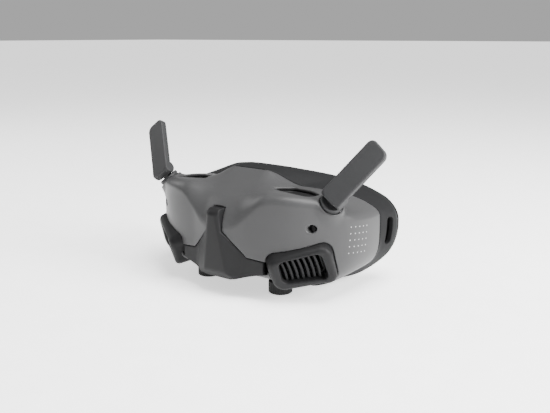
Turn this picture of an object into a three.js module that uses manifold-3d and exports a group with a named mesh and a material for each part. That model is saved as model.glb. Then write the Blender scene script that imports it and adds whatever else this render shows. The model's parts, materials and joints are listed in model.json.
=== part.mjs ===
// First-person-view video goggles with two fold-out paddle antennas.
// Millimetres, +Z up, the front of the goggles faces -Y, the wearer looks out from +Y.
// The ground plane z = 0 touches the two eye knobs and the lower edge of the face mask.
import * as THREE from 'three';
import { ParametricGeometry } from 'three/addons/geometries/ParametricGeometry.js';
import { mergeVertices } from 'three/addons/utils/BufferGeometryUtils.js';
import Module from 'manifold-3d';

const wasm = await Module();
wasm.setup();

// ---- driving dimensions -------------------------------------------------------------------
const GAP = 0.35;                 // clearance between pieces that touch on the real object
const WALL = 2.2;                 // wall of the moulded shells

const HALF_WIDTH = 82.8;          // body half width at the temples
const MIDDLE = 41;                // height of the widest line of the body
const REAR_CENTRE = 25;           // where the plan curve of the body is widest
const FRONT_REACH = 69;           // from that line forward to the front of the eye lobes
const SIDE_HEIGHT = 38;           // half height of the side curve
const SIDE_LIFT = { height: 12, from: 20, to: 50 };   // the side curve lets go of the hump
const PLAN_POWER = 2.5;
const SIDE_POWER = 2.8;

const LOBE_TOP = 71.2;            // top of the eye lobes at their front edge
const HUMP_REAR = { y: -9.3, z: 78.8 };
const HUMP_SLOPE = 0.532;
const HUMP_FLAT = 11;
const HUMP_FOOT = 35;
const RIDGE_HEIGHT = 6.2;         // how far the nose ridge stands in front of the lobes
const RIDGE_FOOT = 22;
const BOTTOM = { height: 8.35, slope: -0.135 };   // sloping underside, by depth y

const FACET_NORMAL = { x: 0.582, z: 0.813 };   // the flat that the folded antenna lies over
const FACET_OFFSET = 90.7;
const FACET_TWIST = { slope: 0.15, from: -14 };

const SEAM_SLOPE = 0.49;          // the rear edge of the shell is a V in plan
const SEAM_KNEE = 12;
const SEAM_REAR = -9.3;

const EYE = { x: 31, z: 42 };     // centre of each eyepiece, interpupillary distance 62
const KNOB = { x: 31, y: -18.5, radius: 8, height: 8.5 };
const CAMERA = { x: 61, y: -27, z: 50, radius: 2.2, depth: 8.8 };

const POD_NORMAL = new THREE.Vector3(0.59, -0.728, -0.35).normalize();
const POD_ACROSS = new THREE.Vector3(0, 0, 1).cross(POD_NORMAL).normalize();
const POD_UP = POD_NORMAL.clone().cross(POD_ACROSS);
const POD_CENTRE = new THREE.Vector3()
  .addScaledVector(POD_NORMAL, 49.3)
  .addScaledVector(POD_ACROSS, 22)
  .addScaledVector(POD_UP, 45);
const POD_OUTLINE = [[-20.7, 2.8], [16.4, 18.2], [24.6, -7.9], [-14.3, -17.4]];
const POD_MOUTH = [[-13, 3.6], [12.8, 10.4], [18.8, -7.6], [-9.3, -11.2]];
const POD = { radius: 7, mouthRadius: 4, depth: 12.8, ledge: 11.4, flare: 0.008 };

const ANTENNA_FOOT = new THREE.Vector3(71.8, -19.9, 70.5);     // on the fold axis
const ANTENNA_LONG = new THREE.Vector3(0.52, 0.44, 0.732).normalize();
const ANTENNA_AXIS = new THREE.Vector3(0.833, -0.073, -0.548).normalize();
const ANTENNA_BACK = ANTENNA_LONG.clone().cross(ANTENNA_AXIS).normalize();
const PADDLE = {
  inner: 7.4,                     // from the fold line's middle to the inner edge
  outer: 7.9,
  tip: 41.6,                      // inner corner of the tip, which slants down outward
  slant: 1.6,
  tail: 4.4,
  radius: 4.6,
  thickness: 5,
  ahead: 1.2,                     // how far the paddle lies in front of the fold line
  split: -1,                      // where the two halves of its case meet
};
const BARREL_AXIS = new THREE.Vector3(0.52, -0.36, 0.775).normalize();
const BARREL = { radius: 7.2, top: -5.6, root: -12.5 };
const EAR = { width: 5.2, radius: 2.4, neck: 4.2 };
const PIN_RADIUS = 1.2;
const PIN_LENGTH = 11.2;

const EYE_TUBE = { outer: 17, inner: 15.2, front: -21, back: 7 };
const RAILS = [{ z: 61.6, reach: 51 }, { z: 20, reach: 47 }];
const RAIL = { y: -17.5, radius: 1.5 };
const SPINDLE_RADIUS = 1.6;
const FAN = { x: 62.6, y: -1, z: 30, radius: 7.6, size: 18, depth: 8, blades: 7 };

const COLOURS = {
  shell: 0x8b8c8e,
  dark: 0x4a4b4e,
  mask: 0x55575a,
  black: 0x17181a,
  steel: 0xa9abad,
  board: 0x1f4a35,
  glass: 0x20262c,
  foam: 0x2c2d30,
};

// ---- small helpers ------------------------------------------------------------------------
const SIDES = [['right', 1], ['left', -1]];
const clamp01 = (value) => Math.min(1, Math.max(0, value));
const smooth = (from, to, value) => {
  const t = clamp01((value - from) / (to - from));
  return t * t * (3 - 2 * t);
};

// The larger of two distances, with their common edge rounded to a radius.
function roundedMax(a, b, radius) {
  const outside = Math.hypot(Math.max(a + radius, 0), Math.max(b + radius, 0));
  return Math.min(Math.max(a, b), -radius) + outside;
}

function toSolid(geometry) {
  const bare = geometry.clone();
  bare.deleteAttribute('normal');
  bare.deleteAttribute('uv');
  const merged = mergeVertices(bare, 1e-4);
  const corners = merged.index.array;
  const triangles = [];
  for (let i = 0; i < corners.length; i += 3) {
    const [a, b, c] = [corners[i], corners[i + 1], corners[i + 2]];
    if (a !== b && b !== c && c !== a) triangles.push(a, b, c);
  }
  const mesh = new wasm.Mesh({
    numProp: 3,
    vertProperties: Float32Array.from(merged.getAttribute('position').array),
    triVerts: Uint32Array.from(triangles),
  });
  return new wasm.Manifold(mesh);
}

function toGeometry(solid) {
  const mesh = solid.getMesh();
  const geometry = new THREE.BufferGeometry();
  geometry.setAttribute('position', new THREE.BufferAttribute(mesh.vertProperties, 3));
  geometry.setIndex(new THREE.BufferAttribute(mesh.triVerts, 1));
  return geometry;
}

function mirrorX(geometry) {
  const mirrored = geometry.clone();
  mirrored.scale(-1, 1, 1);
  const index = mirrored.index;
  for (let i = 0; i < index.count; i += 3) {
    const second = index.getX(i + 1);
    index.setX(i + 1, index.getX(i + 2));
    index.setX(i + 2, second);
  }
  return mirrored;
}

// A solid for the +X side, or its mirror image for the -X side.
const onSide = (solid, sign) => (sign > 0 ? solid : toSolid(mirrorX(toGeometry(solid))));

function basisMatrix(xAxis, yAxis, zAxis, origin) {
  return new THREE.Matrix4().makeBasis(xAxis, yAxis, zAxis).setPosition(origin);
}

// A polygon with every corner rounded.
function roundedPolygon(points, radius) {
  const shape = new THREE.Shape();
  const corners = points.map(([x, y]) => new THREE.Vector2(x, y));
  corners.forEach((corner, i) => {
    const before = corners[(i + corners.length - 1) % corners.length];
    const after = corners[(i + 1) % corners.length];
    const start = corner.clone().add(before.clone().sub(corner).setLength(radius));
    const end = corner.clone().add(after.clone().sub(corner).setLength(radius));
    if (i === 0) shape.moveTo(start.x, start.y);
    else shape.lineTo(start.x, start.y);
    shape.quadraticCurveTo(corner.x, corner.y, end.x, end.y);
  });
  shape.closePath();
  return shape;
}

function rectangle(width, height, radius) {
  const [w, h] = [width / 2, height / 2];
  return roundedPolygon([[-w, -h], [w, -h], [w, h], [-w, h]], radius);
}

// A plain outline from its right half, mirrored to the left.
function mirroredOutline(half) {
  const left = half.map(([x, y]) => [-x, y]).reverse();
  return new THREE.Shape([...half, ...left].map(([x, y]) => new THREE.Vector2(x, y)));
}

// A plate whose outline lies in XZ; it fills y = from .. to.
function plateXZ(shape, from, to, curveSegments = 4) {
  const geometry = new THREE.ExtrudeGeometry(shape, {
    depth: to - from,
    bevelEnabled: false,
    curveSegments,
  });
  geometry.rotateX(Math.PI / 2);
  geometry.translate(0, to, 0);
  return geometry;
}

// A plate whose outline lies in XY; it fills z = from .. to.
function plateXY(shape, from, to, curveSegments = 4) {
  const geometry = new THREE.ExtrudeGeometry(shape, {
    depth: to - from,
    bevelEnabled: false,
    curveSegments,
  });
  geometry.translate(0, 0, from);
  return geometry;
}

function block(x0, x1, y0, y1, z0, z1) {
  const geometry = new THREE.BoxGeometry(x1 - x0, y1 - y0, z1 - z0);
  geometry.translate((x0 + x1) / 2, (y0 + y1) / 2, (z0 + z1) / 2);
  return toSolid(geometry);
}

// A round bar between two points.
function bar(from, to, radius, sides = 20) {
  const direction = new THREE.Vector3().subVectors(to, from);
  const geometry = new THREE.CylinderGeometry(radius, radius, direction.length(), sides);
  const turn = new THREE.Quaternion().setFromUnitVectors(
    new THREE.Vector3(0, 1, 0),
    direction.clone().normalize(),
  );
  geometry.applyQuaternion(turn);
  geometry.translate((from.x + to.x) / 2, (from.y + to.y) / 2, (from.z + to.z) / 2);
  return toSolid(geometry);
}

const at = (x, y, z) => new THREE.Vector3(x, y, z);

// ---- the body form ------------------------------------------------------------------------
function seamY(x) {
  return SEAM_REAR + SEAM_SLOPE * Math.max(0, Math.abs(x) - SEAM_KNEE);
}

function topHeight(x, y) {
  const side = Math.abs(x);
  const behind = Math.max(0, y + 30);
  const lobe = LOBE_TOP - 4.2 * (side / 70) ** 3 - 0.0022 * behind ** 2;
  const hump = HUMP_REAR.z + HUMP_SLOPE * (Math.min(y, HUMP_REAR.y) - HUMP_REAR.y);
  return lobe + (hump - lobe) * (1 - smooth(HUMP_FLAT, HUMP_FOOT, side));
}

function ridge(x) {
  return RIDGE_HEIGHT * Math.max(0, 1 - Math.abs(x) / RIDGE_FOOT);
}

const bottomHeight = (y) => BOTTOM.height + BOTTOM.slope * y;

// Negative inside the body, roughly in millimetres near the skin.
function bodyField(x, y, z) {
  const side = Math.abs(x);
  const ahead = Math.abs(REAR_CENTRE - (y + ridge(x))) / FRONT_REACH;
  const plan = ((side / HALF_WIDTH) ** PLAN_POWER + ahead ** PLAN_POWER) ** (1 / PLAN_POWER);
  const height = SIDE_HEIGHT + SIDE_LIFT.height * (1 - smooth(SIDE_LIFT.from, SIDE_LIFT.to, side));
  const section = ((side / (HALF_WIDTH + 0.5)) ** SIDE_POWER
    + (Math.abs(z - MIDDLE) / height) ** SIDE_POWER) ** (1 / SIDE_POWER);
  const facetLift = FACET_TWIST.slope * Math.max(0, FACET_TWIST.from - y);
  const facet = FACET_NORMAL.x * side + FACET_NORMAL.z * z - FACET_OFFSET - facetLift;
  const top = z - topHeight(x, y);
  const edge = 4.5 + 9 * (1 - smooth(12, 36, side));
  const around = roundedMax(FRONT_REACH * (plan - 1), FRONT_REACH * (section - 1), 6);
  const sides = roundedMax(around, bottomHeight(y) - z, 3);
  return roundedMax(roundedMax(sides, top, edge), facet, 1.5);
}

// The closed skin of a field seen from one inner point: a sphere whose points
// are pushed out along their own directions until they meet the skin.
const HEART = at(0, 0, 42);
function skinSolid(field, around, rings) {
  const ball = new THREE.SphereGeometry(1, around, rings);
  const position = ball.getAttribute('position');
  const direction = new THREE.Vector3();
  for (let i = 0; i < position.count; i += 1) {
    direction.fromBufferAttribute(position, i);
    direction.set(direction.x * 1.5, direction.y, direction.z * 0.9).normalize();
    let near = 1;
    let far = 140;
    for (let step = 0; step < 34; step += 1) {
      const middle = (near + far) / 2;
      const point = direction.clone().multiplyScalar(middle).add(HEART);
      if (field(point.x, point.y, point.z) < 0) near = middle;
      else far = middle;
    }
    const skin = direction.multiplyScalar(near).add(HEART);
    const tidy = (value) => Math.round(value * 1000) / 1000;
    position.setXYZ(i, tidy(skin.x), tidy(skin.y), tidy(skin.z));
  }
  return toSolid(ball);
}

const REAR_LIMIT = 34;
const bodySolid = skinSolid((x, y, z) => Math.max(bodyField(x, y, z), y - REAR_LIMIT), 44, 26);
const insideOf = (wall) => skinSolid(
  (x, y, z) => Math.max(bodyField(x, y, z) + wall, y - REAR_LIMIT - 4),
  26,
  16,
);
const hollow = insideOf(WALL);

// Everything behind the V-shaped rear edge of the shell, moved forward by an offset.
function behindSeam(offset) {
  const shape = new THREE.Shape();
  const reach = 110;
  shape.moveTo(-reach, seamY(reach) - offset);
  shape.lineTo(-SEAM_KNEE, SEAM_REAR - offset);
  shape.lineTo(SEAM_KNEE, SEAM_REAR - offset);
  shape.lineTo(reach, seamY(reach) - offset);
  shape.lineTo(reach, reach);
  shape.lineTo(-reach, reach);
  shape.closePath();
  return toSolid(plateXY(shape, -20, 120));
}

// ---- centre cover -------------------------------------------------------------------------
const COVER_FACE = [
  [6.6, 58.3], [7, 43.8], [21.7, 27.9], [31.3, 27], [31.3, 15.4], [21, 14.2], [9.3, 11.2],
];
const COVER_PLAN = [[4.3, -51.4], [22, -42.9], [36, -41.2], [36, -30]];
const COVER_SHOULDER = 25;        // the outline grows upward above this height, downward below
const COVER_CUTS = [
  { y: -51.4, z: 55.5, normalY: -1, normalZ: -0.062 },    // the raked nose
  { y: -49, z: 16.7, normalY: -0.8, normalZ: -0.6 },      // the chin
  { y: -51.4, z: 56, normalY: -0.55, normalZ: 0.83 },     // the brow
];

// Front outline of the nose cover as a prism; `grow` widens it for the cut in the shell.
function coverPrism(grow) {
  const half = COVER_FACE.map(([x, z]) => [x + grow, z > COVER_SHOULDER ? z + grow : z - grow]);
  return toSolid(plateXZ(mirroredOutline(half), -70, -30));
}

// Everything in front of a sloping plane through (0, y, z).
function tiltedCut({ y, z, normalY, normalZ }) {
  const geometry = new THREE.BoxGeometry(200, 80, 40);
  geometry.translate(0, 0, 20);
  const turn = new THREE.Quaternion().setFromUnitVectors(
    at(0, 0, 1),
    at(0, normalY, normalZ).normalize(),
  );
  geometry.applyQuaternion(turn);
  geometry.translate(0, y, z);
  return toSolid(geometry);
}

function centreCover() {
  let cover = toSolid(plateXY(mirroredOutline(COVER_PLAN), 0, 70)).intersect(coverPrism(0));
  COVER_CUTS.forEach((plane) => {
    cover = cover.subtract(tiltedCut(plane));
  });
  return cover.subtract(insideOf(WALL + 0.4));
}

// ---- vent pods ----------------------------------------------------------------------------
function podPrism(outline, radius, front, back, flare, curveSegments = 3) {
  const shape = roundedPolygon(outline, radius);
  const geometry = new THREE.ExtrudeGeometry(shape, {
    depth: front - back,
    bevelEnabled: false,
    curveSegments,
  });
  const position = geometry.getAttribute('position');
  for (let i = 0; i < position.count; i += 1) {
    const depth = front - back - position.getZ(i);
    const scale = 1 + flare * depth;
    position.setXYZ(i, position.getX(i) * scale, position.getY(i) * scale, position.getZ(i) + back);
  }
  geometry.applyMatrix4(basisMatrix(POD_ACROSS, POD_UP, POD_NORMAL, POD_CENTRE));
  return toSolid(geometry);
}

const shrunk = (outline, u, v) => outline.map(([x, y]) => [x * u, y * v]);

function ventBezel() {
  return podPrism(POD_OUTLINE, POD.radius, 0, -POD.depth, POD.flare)
    .subtract(podPrism(POD_MOUTH, POD.mouthRadius, 1, -POD.ledge, 0))
    .subtract(podPrism(shrunk(POD_MOUTH, 0.9, 0.85), POD.mouthRadius, 1, -20, 0));
}

const LOUVRES = {
  count: 7,
  thickness: 1.3,
  height: 14,                     // of the first blade; the last is `taller` more
  taller: 2.8,
  depth: 4.6,
  twist: 0.35,
  lean: 0.28,
  first: [-9.2, -3.7],
  step: [20.6, 4.2],              // from the first blade to the last
  sunk: -4.9,
  frameFront: -6.2,
  frameBack: -7.7,
};

function louvreBlade(share) {
  const blade = new THREE.BoxGeometry(
    LOUVRES.thickness,
    LOUVRES.height + LOUVRES.taller * share,
    LOUVRES.depth,
  );
  blade.rotateY(LOUVRES.twist);
  blade.rotateZ(LOUVRES.lean);
  const [u, v] = [0, 1].map((i) => LOUVRES.first[i] + LOUVRES.step[i] * share);
  blade.translate(u, v, LOUVRES.sunk);
  blade.applyMatrix4(basisMatrix(POD_ACROSS, POD_UP, POD_NORMAL, POD_CENTRE));
  return toSolid(blade);
}

// Slanted blades joined behind by a frame that sits inside the bezel's mouth.
function ventLouvres() {
  const rim = podPrism(
    shrunk(POD_MOUTH, 0.975, 0.965),
    3.8,
    LOUVRES.frameFront,
    LOUVRES.frameBack,
    0,
    2,
  );
  const room = podPrism(shrunk(POD_MOUTH, 0.97, 0.95), 3.8, 0, -12, 0, 2);
  let grille = rim.subtract(podPrism(shrunk(POD_MOUTH, 0.84, 0.76), 3, 0, -12, 0, 1));
  for (let i = 0; i < LOUVRES.count; i += 1) {
    grille = grille.add(louvreBlade(i / (LOUVRES.count - 1)).intersect(room));
  }
  return grille;
}

// ---- shell --------------------------------------------------------------------------------
const BOTTOM_PANEL = { half: 50, front: -29.6, back: 16, radius: 8 };
const KNOB_SLOT = { length: 13.5, width: 5.6, radius: 2.6, offset: 1 };

// Outline of the panel that closes the sloping underside.
function bottomPanelOutline(grow) {
  const half = BOTTOM_PANEL.half + grow;
  const front = BOTTOM_PANEL.front - grow;
  const back = BOTTOM_PANEL.back + grow;
  const corners = [[-half, front], [half, front], [half, back], [-half, back]];
  return roundedPolygon(corners, BOTTOM_PANEL.radius);
}

function onBottom(geometry) {
  const slope = new THREE.Matrix4().makeShear(0, 0, 0, BOTTOM.slope, 0, 0);
  geometry.applyMatrix4(slope);
  geometry.translate(0, 0, BOTTOM.height);
  return geometry;
}

const TOP_SLOT = [
  [28, -23.5], [38, -26.8], [54.5, -25.6], [57.8, -20], [56.5, -12], [49, -7.5], [34, -9],
];
const TOP_SLOT_CENTRE = [43, -17];
const TOP_RAMP = { x: 43, y: -12.5, z: 65.2, width: 40, length: 15, thickness: 1.2, slope: 0.1 };
const TOP_RIBS = { count: 5, x: 31.5, pitch: 6, width: 1.2, length: 16, height: 1.6, y: -21, z: 64.9 };

function topSlot(grow) {
  const grown = TOP_SLOT.map((corner) => corner.map(
    (value, i) => value + Math.sign(value - TOP_SLOT_CENTRE[i]) * grow,
  ));
  return roundedPolygon(grown, 2);
}

// The space a vent pod takes out of the shells round it.
function podClearance() {
  return podPrism(shrunk(POD_OUTLINE, 1.02, 1.025), POD.radius, 6, -20, POD.flare);
}

function frontShell() {
  const panel = toSolid(onBottom(plateXY(bottomPanelOutline(GAP), -6, 6)));
  let shell = bodySolid
    .subtract(hollow)
    .subtract(behindSeam(0))
    .subtract(coverPrism(GAP))
    .subtract(panel);
  const slot = toSolid(plateXY(topSlot(0), 60, 90));
  const eye = bar(
    at(CAMERA.x, -60, CAMERA.z),
    at(CAMERA.x, -10, CAMERA.z),
    CAMERA.radius + GAP,
  );
  SIDES.forEach(([, sign]) => {
    [podClearance(), slot, eye, antennaBoss()].forEach((cutter) => {
      shell = shell.subtract(onSide(cutter, sign));
    });
  });
  return shell;
}

function lowerShell() {
  const panel = toSolid(onBottom(plateXY(bottomPanelOutline(0), 0.05, WALL)));
  let plate = panel.subtract(behindSeam(GAP));
  SIDES.forEach(([, sign]) => {
    const slot = plateXY(rectangle(KNOB_SLOT.length, KNOB_SLOT.width, KNOB_SLOT.radius), 0, 40);
    slot.translate(sign * (KNOB.x + KNOB_SLOT.offset), KNOB.y, 0);
    plate = plate.subtract(onSide(podClearance(), sign)).subtract(toSolid(slot));
  });
  PORTS.forEach((port) => {
    const outline = rectangle(port.width + 2 * GAP, port.depth + 2 * GAP, port.corner);
    const hole = plateXY(outline, 0, 40);
    hole.translate(port.x, port.y, 0);
    plate = plate.subtract(toSolid(hole));
  });
  return plate;
}

// A frame under the slot in the shell's top, with a ramp behind its opening and ribs across it.
function topVentGrille() {
  const tray = toSolid(plateXY(topSlot(1.6), 58, 90));
  const mouth = toSolid(plateXY(topSlot(-1.2), 58, 90));
  const under = insideOf(WALL + GAP + 1.4);
  const below = insideOf(WALL + GAP + 3.1);
  let grille = tray.intersect(under).subtract(below).subtract(mouth);
  const ramp = new THREE.BoxGeometry(TOP_RAMP.width, TOP_RAMP.length, TOP_RAMP.thickness);
  ramp.rotateX(TOP_RAMP.slope);
  ramp.translate(TOP_RAMP.x, TOP_RAMP.y, TOP_RAMP.z);
  grille = grille.add(toSolid(ramp).intersect(tray).intersect(under));
  for (let i = 0; i < TOP_RIBS.count; i += 1) {
    const rib = new THREE.BoxGeometry(TOP_RIBS.width, TOP_RIBS.length, TOP_RIBS.height);
    rib.translate(TOP_RIBS.x + i * TOP_RIBS.pitch, TOP_RIBS.y, TOP_RIBS.z);
    grille = grille.add(toSolid(rib).intersect(tray).intersect(under));
  }
  return grille;
}

// ---- antennas -----------------------------------------------------------------------------
function alongBarrel(distance) {
  return ANTENNA_FOOT.clone().addScaledVector(BARREL_AXIS, distance);
}

function antennaBoss() {
  return bar(alongBarrel(-20), alongBarrel(1), BARREL.radius + GAP, 24);
}

// The paddle's own frame: x along the fold axis, y to the tip, z out of its front face.
function paddleFrame() {
  const origin = ANTENNA_FOOT.clone().addScaledVector(ANTENNA_BACK, -PADDLE.ahead);
  return basisMatrix(ANTENNA_AXIS, ANTENNA_LONG, ANTENNA_BACK.clone().negate(), origin);
}

function alongFold(radius, length, sides = 12) {
  const half = ANTENNA_AXIS.clone().multiplyScalar(length / 2);
  return bar(ANTENNA_FOOT.clone().sub(half), ANTENNA_FOOT.clone().add(half), radius, sides);
}

function antennaBase() {
  const drum = bar(alongBarrel(BARREL.root), alongBarrel(BARREL.top), BARREL.radius, 20);
  const neck = new THREE.BoxGeometry(EAR.width, EAR.neck, 8);
  const thick = BARREL_AXIS.clone().cross(ANTENNA_AXIS).normalize();
  neck.applyMatrix4(basisMatrix(
    ANTENNA_AXIS,
    thick,
    ANTENNA_AXIS.clone().cross(thick),
    alongBarrel(-4.4),
  ));
  return drum
    .add(alongFold(EAR.radius, EAR.width))
    .add(toSolid(neck))
    .subtract(alongFold(PIN_RADIUS + 0.2, 20, 10));
}

// Outline of the paddle in its own plane: round corners and a slightly slanted tip.
function paddleOutline() {
  return roundedPolygon([
    [-PADDLE.inner, -PADDLE.tail],
    [PADDLE.outer, -PADDLE.tail],
    [PADDLE.outer, PADDLE.tip - PADDLE.slant],
    [-PADDLE.inner, PADDLE.tip],
  ], PADDLE.radius);
}

function paddleHalf(front, back) {
  const plate = new THREE.ExtrudeGeometry(paddleOutline(), {
    depth: front - back,
    bevelEnabled: false,
    curveSegments: 5,
  });
  plate.translate(0, 0, back);
  plate.applyMatrix4(paddleFrame());
  return toSolid(plate).subtract(alongFold(EAR.radius + 0.4, EAR.width + 0.8));
}

function paddleFront() {
  return paddleHalf(PADDLE.thickness / 2, PADDLE.split)
    .subtract(alongFold(PIN_RADIUS + 0.1, PIN_LENGTH + 0.6, 10));
}

// The back half is open behind the ear, so that the neck passes as the antenna folds.
const NOTCH = { top: 4.2, foot: -PADDLE.tail - 2 };
function paddleBack() {
  const notch = new THREE.BoxGeometry(EAR.width + 0.8, NOTCH.top - NOTCH.foot, 6);
  notch.translate(0, (NOTCH.top + NOTCH.foot) / 2, -4);
  notch.applyMatrix4(paddleFrame());
  return paddleHalf(PADDLE.split - GAP, -PADDLE.thickness / 2)
    .subtract(toSolid(notch))
    .subtract(alongFold(PIN_RADIUS + 0.2, PIN_LENGTH + 1.2, 10));
}

// ---- ports in the bottom panel ------------------------------------------------------------
const PORTS = [
  { name: 'usb_socket', x: -44, y: -3, width: 9.4, depth: 4, corner: 1.6, height: 7 },
  { name: 'audio_socket', x: -34, y: -7, width: 6.4, depth: 6.4, corner: 3, height: 9 },
  { name: 'card_slot', x: -20, y: -13.2, width: 12.6, depth: 2.6, corner: 0.8, height: 4.5 },
  { name: 'power_socket', x: 44, y: -4, width: 8.4, depth: 8.4, corner: 4, height: 9 },
  { name: 'link_button', x: 30, y: -9, width: 5.4, depth: 5.4, corner: 2.6, height: 4 },
];

function portSolid(port) {
  const base = bottomHeight(port.y + port.depth / 2) + 0.3;
  const outer = plateXY(rectangle(port.width, port.depth, port.corner), base, base + port.height);
  outer.translate(port.x, port.y, 0);
  const body = toSolid(outer);
  if (port.name === 'link_button') return body;
  const inner = plateXY(
    rectangle(port.width - 1.8, port.depth - 1.2, port.corner * 0.6),
    base - 1,
    base + port.height - 1.5,
  );
  inner.translate(port.x, port.y, 0);
  return body.subtract(toSolid(inner));
}

// ---- face mask and foam -------------------------------------------------------------------
// Rim of the face mask, right half, from the forehead round the temple to the nose bridge.
const RIM_HALF = [
  [0, 12, 78.5], [18.3, 18.9, 76.6], [38.3, 28.4, 73.3], [53.3, 36.4, 68.9], [66, 41, 63.4],
  [75.5, 44, 57.6],
  [82, 45, 49.6], [83.8, 45, 41], [82.6, 45, 30.5], [78.6, 44, 20.4], [69.5, 38, 10.4],
  [58, 33, 2.8], [46, 29, -0.2], [34, 24.5, 3], [24, 19, 12], [13.5, 12, 24], [0, 8, 30],
];
const RIM = new THREE.CatmullRomCurve3(
  [
    ...RIM_HALF.map(([x, y, z]) => at(x, y, z)),
    ...RIM_HALF.slice(1, -1).reverse().map(([x, y, z]) => at(-x, y, z)),
  ],
  true,
  'catmullrom',
  0.5,
);

function outwardAt(turn) {
  const angle = turn * Math.PI * 2;
  return at(Math.sin(angle) / HALF_WIDTH, 0, Math.cos(angle) / SIDE_HEIGHT).normalize();
}

// Where the mask meets the rear edge of the shell, for a turn 0..1 round the face.
function seamPoint(turn) {
  const angle = turn * Math.PI * 2;
  const direction = at(HALF_WIDTH * Math.sin(angle), 0, SIDE_HEIGHT * Math.cos(angle)).normalize();
  let near = 5;
  let far = 120;
  for (let step = 0; step < 34; step += 1) {
    const middle = (near + far) / 2;
    const x = direction.x * middle;
    if (bodyField(x, seamY(x), 42 + direction.z * middle) < 0) near = middle;
    else far = middle;
  }
  const x = direction.x * near;
  return at(x, seamY(x) + GAP, 42 + direction.z * near);
}

// Stations across the mask wall: part of the way to the rim, shift back, shift inward.
const MASK_PROFILE = [
  [0, 0, 0], [0.5, 0, -1], [1, -1, 0], [1, 1.2, 1.2], [1, 2, 4], [1, 2, 11],
  [1, 0, 11], [1, -0.4, 4], [0.5, 0, 1.2], [0, 0, WALL],
];

function ringSurface(pointAt, stations, steps) {
  const geometry = new ParametricGeometry((u, v, target) => {
    const turn = Math.round(u * steps) % steps;
    const station = Math.round(v * stations) % stations;
    target.copy(pointAt(turn / steps, station));
  }, steps, stations);
  return toSolid(geometry);
}

const STRAP_SLOT = { front: 28, back: 37.5, low: 29, high: 48 };
const STRAP_BAR = { x: 82, y: 30.2, lean: 0.4, radius: 1.1 };

function faceMask() {
  let mask = ringSurface((turn, station) => {
    const [share, back, inward] = MASK_PROFILE[station];
    const point = seamPoint(turn).lerp(RIM.getPoint(turn), share);
    point.y += back;
    return point.addScaledVector(outwardAt(turn), -inward);
  }, MASK_PROFILE.length, 52);
  const { front, back, low, high } = STRAP_SLOT;
  const slot = block(60, 95, front, back, low, high);
  const strapBar = bar(
    at(STRAP_BAR.x, STRAP_BAR.y, low - 1.2),
    at(STRAP_BAR.x + STRAP_BAR.lean, STRAP_BAR.y, high + 1),
    STRAP_BAR.radius,
    10,
  );
  SIDES.forEach(([, sign]) => {
    mask = mask.subtract(onSide(slot, sign)).add(onSide(strapBar, sign));
  });
  return mask;
}

// Section of the foam: distance inward from the rim, height over the mask's flange.
const FOAM_SECTION = [
  [0, 2.5], [2, 3.65], [8, 3.65], [9.5, 2.5], [9.5, 1.2], [8, 0], [2, 0], [0, 1.2],
];
const FOAM_INSET = 1.6;

function foamPad() {
  return ringSurface((turn, station) => {
    const [inward, back] = FOAM_SECTION[station];
    const point = RIM.getPoint(turn);
    point.y += 2 + 2 * GAP + back;
    return point.addScaledVector(outwardAt(turn), -FOAM_INSET - inward);
  }, FOAM_SECTION.length, 44);
}

// ---- optics -------------------------------------------------------------------------------
function tubeY(outer, inner, from, to, x, z, sides = 24) {
  const tube = bar(at(x, from, z), at(x, to, z), outer, sides);
  return tube.subtract(bar(at(x, from - 1, z), at(x, to + 1, z), inner, sides));
}

const CARRIAGE_PLATE = [
  [-13, 21.5], [-17, 14], [-17, -12], [-9, -25], [9, -25], [17, -12], [17, 14], [13, 21.5],
];
const CARRIAGE = { front: -20.5, back: -14.5, sleeveFront: -24, sleeveWall: 1.6, footHalf: 4 };

// A plate that slides on both rails, with a sleeve for the lens cell and a foot on the spindle.
function eyeCarriage() {
  const { front, back, sleeveFront, sleeveWall, footHalf } = CARRIAGE;
  const outline = roundedPolygon(CARRIAGE_PLATE, 1.5);
  outline.holes.push(new THREE.Path().absarc(0, 0, 15, 0, Math.PI * 2, true));
  const plate = plateXZ(outline, front, back, 3);
  plate.translate(EYE.x, 0, EYE.z);
  const foot = block(EYE.x - footHalf, EYE.x + footHalf, KNOB.y - footHalf, back, 15.2, 19);
  const sleeve = bar(
    at(EYE.x, sleeveFront, EYE.z),
    at(EYE.x, back, EYE.z),
    EYE_TUBE.outer + sleeveWall,
    24,
  );
  const bore = bar(at(EYE.x, -40, EYE.z), at(EYE.x, 0, EYE.z), EYE_TUBE.outer + 0.4, 24);
  let carriage = toSolid(plate).add(foot).add(sleeve).subtract(bore);
  RAILS.forEach(({ z }) => {
    const bearing = bar(at(0, RAIL.y, z), at(70, RAIL.y, z), RAIL.radius + GAP, 12);
    carriage = carriage.subtract(bearing);
  });
  const spindleBore = bar(
    at(EYE.x, KNOB.y, 0),
    at(EYE.x, KNOB.y, 18),
    SPINDLE_RADIUS + 0.3,
    12,
  );
  return carriage.subtract(spindleBore);
}

function lensCell() {
  const { outer, inner, front, back } = EYE_TUBE;
  return tubeY(outer, inner, front, back, EYE.x, EYE.z)
    .add(tubeY(outer, 13.5, -8, -6, EYE.x, EYE.z));
}

const LENS = { front: -4.6, frontCurve: 3, back: 2.6, backCurve: 2.6, y: 2.2, rings: 3 };

function eyepieceLens() {
  const radius = EYE_TUBE.inner - GAP;
  const profile = [new THREE.Vector2(0, LENS.front)];
  for (let i = 1; i <= LENS.rings; i += 1) {
    const share = i / LENS.rings;
    profile.push(new THREE.Vector2(radius * share, LENS.front + LENS.frontCurve * share ** 2));
  }
  for (let i = LENS.rings; i >= 1; i -= 1) {
    const share = i / LENS.rings;
    profile.push(new THREE.Vector2(radius * share, LENS.back - LENS.backCurve * share ** 2));
  }
  profile.push(new THREE.Vector2(0, LENS.back));
  const geometry = new THREE.LatheGeometry(profile, 20);
  geometry.translate(EYE.x, LENS.y, EYE.z);
  return toSolid(geometry);
}

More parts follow.
